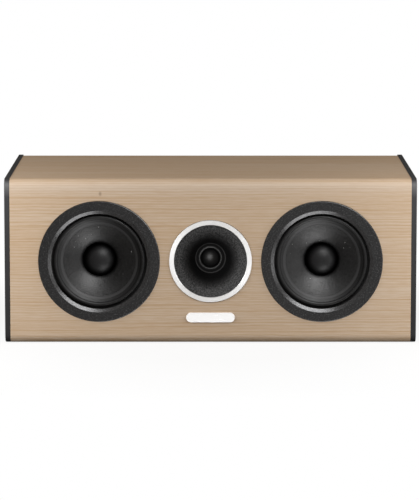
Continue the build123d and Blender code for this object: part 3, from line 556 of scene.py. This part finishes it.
def make_rubber():
    """Soft black rubber of the roll, with a bloom and some dust; its inner lip is painted paler, a painted
    highlight line.
    """
    finish, tree, shader = start_finish("surround_rubber_soft", Specular_IOR_Level=0.55)
    bloom = use_group(tree, TONE_DRIFT, colour=srgb(14, 14, 15), size=45.0, depth=0.22)
    grain = use_group(tree, FINE_PITS, size=2600.0, sharpness=0.3)
    dust = use_group(tree, DUST_SPECKS, spacing=150.0, radius=0.035)
    distance = use_group(tree, DRIVER_RADIUS, offset=WOOFER_X)["Distance"]
    # Painted highlight: the inner lip of the surround is a paler grey
    lit_lip = remap(tree, distance, LIP_OUTER + LIP_BLUR, LIP_OUTER)
    base = blend_colour(tree, lit_lip, bloom["Colour"], srgb(48, 48, 49))
    base = blend_colour(tree, dust["Mask"], base, srgb(120, 120, 120))
    rough = remap(tree, bloom["Mask"], 0.3, 0.7, 0.46, 0.58)
    feed(tree, shader, Base_Color=base, Roughness=rough)
    relief(tree, shader, grain["Height"], 0.02 * MM)
    return finish


# Phase of the wire's turns along the winding, in radians for each metre
WIRE_PHASE = 7800.0


def make_copper():
    """Enamelled wire laid turn on turn; the valleys between turns are painted darker as shade."""
    finish, tree, shader = start_finish("copper_enamelled", Metallic=1.0)
    axes = put(tree, "ShaderNodeSeparateXYZ", {0: place_of(tree)})
    winding = math_node(tree, "ADD", axes.outputs["Z"], axes.outputs["Y"])
    turns = math_node(tree, "SINE", math_node(tree, "MULTIPLY", winding, WIRE_PHASE))
    tone = use_group(tree, TONE_DRIFT, colour=srgb(196, 112, 66), size=60.0, depth=0.2)
    # Painted shade: the low valleys between turns take the dark copper
    base = blend_colour(tree, remap(tree, turns, -1.0, 0.2), srgb(96, 44, 22), tone["Colour"])
    feed(tree, shader, Base_Color=base, Roughness=remap(tree, turns, -1.0, 1.0, 0.5, 0.28))
    relief(tree, shader, turns, 0.2 * MM)
    return finish


def make_board_green():
    """Crossover board: fibre board with copper lands showing through the mask."""
    finish, tree, shader = start_finish("board_masked", Coat_Weight=0.3)
    lands = put(tree, "ShaderNodeTexVoronoi", {"Vector": place_of(tree), "Scale": 85.0},
                distance="CHEBYCHEV")
    tone = use_group(tree, TONE_DRIFT, colour=srgb(26, 74, 48), size=90.0, depth=0.2)
    base = blend_colour(tree, remap(tree, lands.outputs["Distance"], 0.30, 0.34), srgb(48, 104, 62),
                        tone["Colour"])
    feed(tree, shader, Base_Color=base, Roughness=remap(tree, tone["Mask"], 0.3, 0.7, 0.32, 0.5))
    relief(tree, shader, lands.outputs["Distance"], 0.04 * MM)
    return finish


# One finish for each material slot of the record
FINISHES = {
    "veneer": make_veneer(),
    # Painted sheen along the panels' rounded upper front edge
    "black_panel": moulded("panel_black_satin", srgb(52, 52, 53), roughness=0.6, pits=900.0,
                           depth=0.06 * MM, specular=0.02, sparkle=0.14, edge=0.6),
    "raw_board": felted("fibreboard_raw", srgb(150, 118, 84), roughness=0.8, size=700.0,
                        depth=0.1 * MM, specular=0.2, contrast=0.35),
    "wadding": felted("wadding_wool", srgb(226, 224, 216), roughness=0.95, size=260.0,
                      depth=3.0 * MM, specular=0.1, contrast=0.5, sheen=0.4),
    "speckled_black": make_ring_paint(),
    "surround_rubber": make_rubber(),
    # Painted shade: the cone is darkened by its neck and the cap towards its rim
    "cone_paper": felted("cone_coated_pulp", srgb(12, 12, 13), roughness=0.42, size=520.0,
                         depth=0.5 * MM, specular=0.62, contrast=0.9, specks=0.05,
                         painted_shade=(26.2 * MM, 21.8 * MM)),
    "dust_cap": felted("cap_coated_pulp", srgb(31, 31, 32), roughness=0.45, size=1000.0,
                       depth=0.06 * MM, specular=0.28, contrast=0.15, specks=0.035,
                       painted_shade=(12.0 * MM, 21.0 * MM)),
    "spider_cloth": woven("spider_phenolic_cloth", srgb(176, 128, 62), roughness=0.75, threads=3600.0,
                          depth=0.1 * MM),
    "cast_frame": moulded("frame_cast_painted", srgb(40, 41, 43), roughness=0.5, pits=900.0,
                          depth=0.15 * MM, specular=0.4, sparkle=0.3),
    "bare_aluminium": brushed("aluminium_bare", srgb(205, 206, 208), roughness=0.35),
    "copper_wire": make_copper(),
    "plated_steel": brushed("steel_plated", srgb(176, 178, 182), roughness=0.3, slant=0.2,
                            fineness=3200.0),
    "ferrite": moulded("ferrite_ground", srgb(58, 57, 58), roughness=0.62, pits=1300.0,
                       depth=0.1 * MM, specular=0.3, sparkle=0.3),
    "lead_sleeve": moulded("lead_sleeve_soft", srgb(32, 32, 34), roughness=0.48, pits=2600.0,
                           depth=0.03 * MM, sparkle=0.1),
    "silver_ring": brushed("ring_silver_brushed", srgb(252, 252, 252), roughness=0.34, slant=0.75,
                           fineness=700.0, depth=0.0002 * MM, contrast=0.25, drift=0.1, bareness=0.5,
                           unevenness=0.015, turned=0.8),
    "horn_black": make_horn_black(),
    "dome_cloth": make_dome_silk(),
    "badge_metal": brushed("badge_bare", srgb(250, 250, 250), roughness=0.26, slant=0.0,
                           fineness=2200.0, depth=0.0002 * MM, contrast=0.06, drift=0.02, bareness=0.5,
                           unevenness=0.015),
    "port_plastic": moulded("port_moulded", srgb(30, 30, 31), roughness=0.5, pits=2000.0,
                            depth=0.05 * MM, sparkle=0.15),
    "cup_plastic": moulded("cup_moulded", srgb(32, 32, 33), roughness=0.46, pits=1700.0,
                           depth=0.06 * MM, specular=0.38, sparkle=0.2),
    "gilt_metal": brushed("post_gilt", srgb(226, 178, 88), roughness=0.24, slant=0.0, fineness=3000.0),
    "red_grip": moulded("grip_red", srgb(170, 22, 24), roughness=0.36, pits=2600.0, depth=0.02 * MM,
                        specular=0.45, sparkle=0.05),
    "black_grip": moulded("grip_black", srgb(26, 26, 27), roughness=0.36, pits=2600.0, depth=0.02 * MM,
                          specular=0.45, sparkle=0.08),
    "circuit_board": make_board_green(),
    "spacer_plastic": moulded("spacer_white", srgb(220, 220, 214), roughness=0.5),
    "capacitor_film": moulded("capacitor_film_wrap", srgb(176, 152, 36), roughness=0.3, pits=1200.0,
                              depth=0.03 * MM, specular=0.45, sparkle=0.1),
    "resistor_clay": moulded("resistor_ceramic", srgb(214, 210, 200), roughness=0.7, pits=1500.0,
                             depth=0.1 * MM),
}


def dress_nodes():
    """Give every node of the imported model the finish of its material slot."""
    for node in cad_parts.values():
        for place in node.material_slots:
            place.material = FINISHES[place.material.name.split(".")[0]]


# Meshes

def spin_profile(name, profile, x_centre, finish, steps):
    """A closed ring of quads from a closed profile of (radius, depth) about a driver's axis."""
    built = bmesh.new()
    rows = []
    for index in range(steps):
        angle = 2 * math.pi * index / steps
        rows.append([built.verts.new((x_centre + radius * math.cos(angle), BAFFLE_FACE + depth,
                                      DRIVER_HEIGHT + radius * math.sin(angle)))
                     for radius, depth in profile])
    for index in range(steps):
        here, there = rows[index], rows[(index + 1) % steps]
        for point in range(len(profile)):
            after = (point + 1) % len(profile)
            built.faces.new((here[point], here[after], there[after], there[point]))
    bmesh.ops.recalc_face_normals(built, faces=built.faces)
    mesh = bpy.data.meshes.new(name)
    built.to_mesh(mesh)
    built.free()
    mesh.polygons.foreach_set("use_smooth", [True] * len(mesh.polygons))
    mesh.set_sharp_from_angle(angle=CREASE_ANGLE)
    piece = bpy.data.objects.new(name, mesh)
    bpy.context.scene.collection.objects.link(piece)
    mesh.materials.append(finish)
    return piece


def follow_both(piece, x_centre, fixed_radius, moving_radius):
    """Bake a flexible ring's place into its mesh, and work out how far each point lies from the basket's
    radius towards the cone's; nothing takes up these shares.
    """
    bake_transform(piece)
    count = len(piece.data.vertices)
    points = np.zeros(count * 3, np.float32)
    piece.data.vertices.foreach_get("co", points)
    points = points.reshape(-1, 3)
    radius = np.hypot(points[:, 0] - x_centre, points[:, 2] - DRIVER_HEIGHT)
    share = np.clip((radius - fixed_radius) / (moving_radius - fixed_radius), 0.0, 1.0)
    share = share * share * (3 - 2 * share)


def arc_through(chord_start, chord_end, level, height, steps):
    """Points of the circle's arc that stands on a level chord; a height below 0 points forwards."""
    half = (chord_end - chord_start) / 2
    middle = chord_start + half
    radius = (half * half + height * height) / (2 * abs(height))
    centre = level + height - math.copysign(radius, height)
    turn = math.atan2(half, radius - abs(height))
    points = []
    for step in range(steps + 1):
        angle = turn * (2 * step / steps - 1)
        points.append((middle + radius * math.sin(angle),
                       centre + math.copysign(radius * math.cos(angle), height)))
    return points


def surround_profile():
    """Half roll, sunk outer land and stepped inner land; the front goes outwards, the back returns."""
    land_back = LAND_FRONT + RUBBER_THICKNESS
    slope = RIM_DROP / (ROLL_INNER - LAND_INNER)
    lip_back = land_back + slope * (ROLL_INNER - LIP_OUTER)
    rim_back = land_back + RIM_DROP
    front = [(LAND_INNER, rim_back - LIP_EDGE), (LAND_INNER + LIP_EDGE, rim_back - LIP_THICKNESS),
             (LIP_OUTER, lip_back - LIP_THICKNESS), (LIP_OUTER, lip_back - RUBBER_THICKNESS + LIP_EDGE),
             (LIP_OUTER + LIP_EDGE, lip_back - RUBBER_THICKNESS)]
    front += arc_through(ROLL_INNER, ROLL_OUTER, LAND_FRONT, -ROLL_HEIGHT, ROLL_ARC_STEPS)
    front += [(ROLL_OUTER, LAND_FRONT + SKIRT), (LAND_OUTER, LAND_FRONT + SKIRT),
              (LAND_OUTER, land_back + SKIRT), (ROLL_OUTER - RUBBER_THICKNESS, land_back + SKIRT)]
    hollow = arc_through(ROLL_INNER + RUBBER_THICKNESS, ROLL_OUTER - RUBBER_THICKNESS, land_back,
                         -ROLL_HEIGHT, ROLL_ARC_STEPS)
    return front + hollow[::-1] + [(ROLL_INNER, land_back), (LAND_INNER, rim_back)]


def spider_profile():
    """Corrugated ring: waves of even arcs from the coil former outwards, and a flat land."""
    line = []
    for number in range(SPIDER_WAVES):
        start = SPIDER_INNER + number * SPIDER_WAVE_WIDTH
        height = SPIDER_WAVE_HEIGHT * (1 if number % 2 else -1)
        arc = arc_through(start, start + SPIDER_WAVE_WIDTH, SPIDER_PLANE, height, WAVE_ARC_STEPS)
        line += arc if not line else arc[1:]
    line.append((SPIDER_OUTER, SPIDER_PLANE))
    front, back = [], []
    for index, (radius, depth) in enumerate(line):
        before, after = line[max(index - 1, 0)], line[min(index + 1, len(line) - 1)]
        run, rise = after[0] - before[0], after[1] - before[1]
        reach = SPIDER_THICKNESS / 2 / math.hypot(run, rise)
        front.append((radius + rise * reach, depth - run * reach))
        back.append((radius - rise * reach, depth + run * reach))
    return front + back[::-1]


def make_flexible_rings():
    for side, x_centre in (("left", -WOOFER_X), ("right", WOOFER_X)):
        surround = spin_profile(side + "_surround_roll", surround_profile(), x_centre,
                                FINISHES["surround_rubber"], SURROUND_STEPS)
        follow_both(surround, x_centre, ROLL_OUTER, ROLL_INNER)
        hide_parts(side + "_surround")
        spider = spin_profile(side + "_spider_cloth", spider_profile(), x_centre,
                              FINISHES["spider_cloth"], SPIDER_STEPS)
        follow_both(spider, x_centre, SPIDER_INNER + SPIDER_WAVES * SPIDER_WAVE_WIDTH, SPIDER_INNER)
        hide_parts(side + "_spider")


# Studio

CAMERA_SPOT = (-0.00136, -4.2989, 0.6615)
CAMERA_TILT = math.radians(7.379)
CAMERA_LENS = 225.2

# Soft light of the air, and what mirrored rays see of it
SOFT_TINT = (1.0, 0.92, 0.83, 1.0)
SOFT_LEVEL = 0.385
REAR_FROM, REAR_TO = -0.1, 0.5
HORIZON_FROM, HORIZON_TO = -0.06, 0.04
REAR_DIMMING = 0.235
MIRRORED_LEVEL = 0.11
MIRRORED_WHITE = 0.5
WHITE = (1.0, 1.0, 1.0, 1.0)

# Paper floor: its grey for the light that it throws back, its white for the camera
PAPER_DARK = (0.24, 0.24, 0.24, 1.0)
PAPER_PALE = (0.28, 0.28, 0.28, 1.0)
PAPER_SEEN = (0.85, 0.85, 0.85, 1.0)
FLOOR_WHITE_SHARE = 0.84
FADE_FROM, FADE_TO = 0.3, 0.6
FLOOR_REACH = 14.0
FLOOR_LEVEL = -0.3 * MM

# Where the lamps aim: the middle of the front, and the level of the boxes beside and behind
AIM_HEIGHT = 0.11
FRONT_MIDDLE = (0.0, BAFFLE_FACE, AIM_HEIGHT)
LOW_LEVEL = -0.1
LOW_BOX_REACH = 1.7
PANEL_X = 0.275

WOOFER_FRONTS = [side + name for side in ("left_", "right_")
                 for name in ("trim_ring", "cone", "dust_cap", "surround_roll")]
END_PANELS = ["left_end_panel", "right_end_panel"]
BRIGHT_METAL = ["tweeter_ring", "badge_plate"]
BOARDS = ["cabinet_shell", "rear_panel"] + END_PANELS + BRIGHT_METAL


def make_camera():
    lens = bpy.data.cameras.new("photo_camera")
    lens.lens = CAMERA_LENS
    camera = bpy.data.objects.new("photo_camera", lens)
    camera.location = CAMERA_SPOT
    camera.rotation_euler = (math.pi / 2 - CAMERA_TILT, 0.0, 0.0)
    bpy.context.scene.collection.objects.link(camera)
    bpy.context.scene.camera = camera


def make_softbox(name, spot, target, width, height, watts, roll=0.0):
    lamp = bpy.data.lights.new(name, "AREA")
    lamp.shape = "RECTANGLE"
    lamp.size = width
    lamp.size_y = height
    lamp.energy = watts
    box = bpy.data.objects.new(name, lamp)
    box.location = spot
    aim = (Vector(target) - Vector(spot)).to_track_quat("-Z", "Y")
    box.rotation_euler = (aim @ Quaternion((0.0, 0.0, 1.0), roll)).to_euler()
    bpy.context.scene.collection.objects.link(box)
    return box


def seen_directly(tree, mirrored=1.0):
    """1 for rays from the camera or through glass, mirrored for reflected ones, 0 for the rest."""
    rays = put(tree, "ShaderNodeLightPath").outputs
    glossy = math_node(tree, "MULTIPLY", rays["Is Glossy Ray"], mirrored)
    share = math_node(tree, "MAXIMUM", rays["Is Camera Ray"], glossy)
    return math_node(tree, "MAXIMUM", share, rays["Is Transmission Ray"])


def make_air():
    """White to the camera, part white to what mirrors the rear; its soft light is dimmer behind."""
    world = bpy.data.worlds.new("studio_air")
    world.use_nodes = True
    tree = world.node_tree
    tree.nodes.clear()
    direction = put(tree, "ShaderNodeTexCoord").outputs["Generated"]
    towards = put(tree, "ShaderNodeSeparateXYZ", {0: direction})
    rearward = remap(tree, towards.outputs["Y"], REAR_FROM, REAR_TO)
    upward = remap(tree, towards.outputs["Z"], HORIZON_FROM, HORIZON_TO)
    mirrored = math_node(tree, "MULTIPLY", rearward, MIRRORED_WHITE)
    dimming = math_node(tree, "MULTIPLY", rearward, REAR_DIMMING)
    level = math_node(tree, "SUBTRACT", SOFT_LEVEL, dimming)
    level = math_node(tree, "MULTIPLY", level, upward)
    glossy = put(tree, "ShaderNodeLightPath").outputs["Is Glossy Ray"]
    strength = remap(tree, glossy, 0.0, 1.0, level, MIRRORED_LEVEL)
    soft = put(tree, "ShaderNodeBackground", {"Color": SOFT_TINT, "Strength": strength})
    white = put(tree, "ShaderNodeBackground", {"Color": WHITE, "Strength": 1.0})
    chosen = put(tree, "ShaderNodeMixShader", {0: seen_directly(tree, mirrored), 1: soft.outputs[0],
                                               2: white.outputs[0]})
    output = tree.nodes.new("ShaderNodeOutputWorld")
    tree.links.new(chosen.outputs[0], output.inputs["Surface"])
    bpy.context.scene.world = world


def make_floor():
    """White paper floor that takes the object's shadow; lamps below it reach the object."""
    paper = bpy.data.materials.new("floor_paper")
    paper.use_nodes = True
    tree = paper.node_tree
    tree.nodes.clear()
    floor_place = place_of(tree)
    cloud = noise(tree, floor_place, 3.0)
    away = put(tree, "ShaderNodeVectorMath", {0: floor_place}, operation="LENGTH").outputs["Value"]
    tone = blend_colour(tree, cloud, PAPER_DARK, PAPER_PALE)
    camera_ray = put(tree, "ShaderNodeLightPath").outputs["Is Camera Ray"]
    shade = blend_colour(tree, camera_ray, tone, PAPER_SEEN)
    matt = put(tree, "ShaderNodeBsdfDiffuse", {"Color": shade})
    white = put(tree, "ShaderNodeEmission", {"Color": WHITE, "Strength": 1.0})
    fading = remap(tree, away, FADE_FROM, FADE_TO, FLOOR_WHITE_SHARE, 1.0)
    share = math_node(tree, "MULTIPLY", seen_directly(tree), fading)
    chosen = put(tree, "ShaderNodeMixShader", {0: share, 1: matt.outputs[0], 2: white.outputs[0]})
    output = tree.nodes.new("ShaderNodeOutputMaterial")
    tree.links.new(chosen.outputs[0], output.inputs["Surface"])

    mesh = bpy.data.meshes.new("studio_floor")
    corners = [(x_side * FLOOR_REACH, y_side * FLOOR_REACH, FLOOR_LEVEL)
               for x_side, y_side in ((-1, -1), (1, -1), (1, 1), (-1, 1))]
    mesh.from_pydata(corners, [], [(0, 1, 2, 3)])
    mesh.materials.append(paper)
    floor = bpy.data.objects.new("studio_floor", mesh)
    bpy.context.scene.collection.objects.link(floor)
    floor.visible_shadow = False
    floor.visible_glossy = False


def gather(name, pieces):
    group = bpy.data.collections.new(name)
    for piece in pieces:
        group.objects.link(bpy.data.objects[piece])
    return group


def shine_on(name, pieces, lamps):
    """Keep the light of some lamps to some pieces."""
    lit = gather(name, pieces)
    for lamp in lamps:
        lamp.light_linking.receiver_collection = lit


def object_meshes():
    return [piece.name for piece in bpy.context.scene.objects if piece.type == "MESH"]


def light_cabinet():
    """A key on each side; only boards and bright metal throw its shadow."""
    keys = []
    for name, side, watts in (("left_key", -1, 4.9), ("right_key", 1, 4.7)):
        keys.append(make_softbox(name, (side * 0.70, -0.43, 0.35), (side * 0.10, BAFFLE_FACE, AIM_HEIGHT),
                                 width=0.5, height=0.4, watts=watts))
    apart = WOOFER_FRONTS + END_PANELS + ["tweeter_horn", "tweeter_dome"]
    shine_on("cabinet_side", [name for name in object_meshes() if name not in apart], keys)
    boards = gather("boards", BOARDS)
    for key in keys:
        key.light_linking.blocker_collection = boards


def light_woofers():
    """Boxes high, low and level on the right, which shape the cones and the rings' slopes."""
    high = make_softbox("high_right_box", (0.61, -1.30, 1.50), FRONT_MIDDLE,
                        width=1.3, height=1.1, watts=33.0)
    low = make_softbox("low_right_box", (0.59, -0.89, -1.43), FRONT_MIDDLE,
                       width=1.3, height=1.1, watts=20.0)
    level = make_softbox("right_box", (1.39, -0.93, 0.01), FRONT_MIDDLE,
                         width=0.8, height=0.8, watts=2.8)
    shine_on("woofer_fronts", WOOFER_FRONTS, [high, low, level])


def light_tweeter():
    """A tilted card for the bright metal, a box for the horn and a small one for the dome."""
    card = make_softbox("front_card", (0.0, -2.2, -0.15), FRONT_MIDDLE,
                        width=3.2, height=0.75, watts=9.6, roll=math.radians(-17.0))
    spot = make_softbox("dome_spot", (-0.20, -2.0, 0.34), FRONT_MIDDLE,
                        width=0.8, height=1.2, watts=9.0)
    horn_box = make_softbox("horn_box", (-0.55, -2.0, 0.45), FRONT_MIDDLE,
                            width=2.2, height=1.8, watts=30.0)
    shine_on("bright_metal", BRIGHT_METAL, [card])
    shine_on("horn_flare", ["tweeter_horn"], [horn_box])
    shine_on("dome", ["tweeter_dome"], [spot])


def light_panel_edges():
    """A small box before the upper front corner of each end panel."""
    lamps = []
    for name, x_place in (("left_edge_box", -PANEL_X), ("right_edge_box", PANEL_X)):
        lamps.append(make_softbox(name, (x_place, -0.42, 0.30), (x_place, BAFFLE_FACE, 0.19),
                                  width=0.12, height=0.12, watts=1.2))
    shine_on("end_panels", END_PANELS, lamps)


def light_back_and_sides():
    """Low boxes beside and behind the object, below the level of its top."""
    lamps = []
    for name, x_place in (("left_side_box", -LOW_BOX_REACH), ("right_side_box", LOW_BOX_REACH)):
        lamps.append(make_softbox(name, (x_place, 0.5, LOW_LEVEL), (0.0, 0.5, LOW_LEVEL),
                                  width=1.2, height=0.6, watts=13.0))
    lamps.append(make_softbox("rear_box", (0.0, LOW_BOX_REACH, LOW_LEVEL), (0.0, 0.1, LOW_LEVEL),
                              width=2.4, height=0.6, watts=13.0))
    for lamp in lamps:
        lamp.visible_camera = False
    shine_on("whole_object", [name for name in object_meshes() if name != "studio_floor"], lamps)


bpy.context.scene.view_settings.view_transform = "Standard"

make_camera()
make_air()
make_floor()
dress_nodes()
make_flexible_rings()
light_cabinet()
light_woofers()
light_tweeter()
light_panel_edges()
light_back_and_sides()
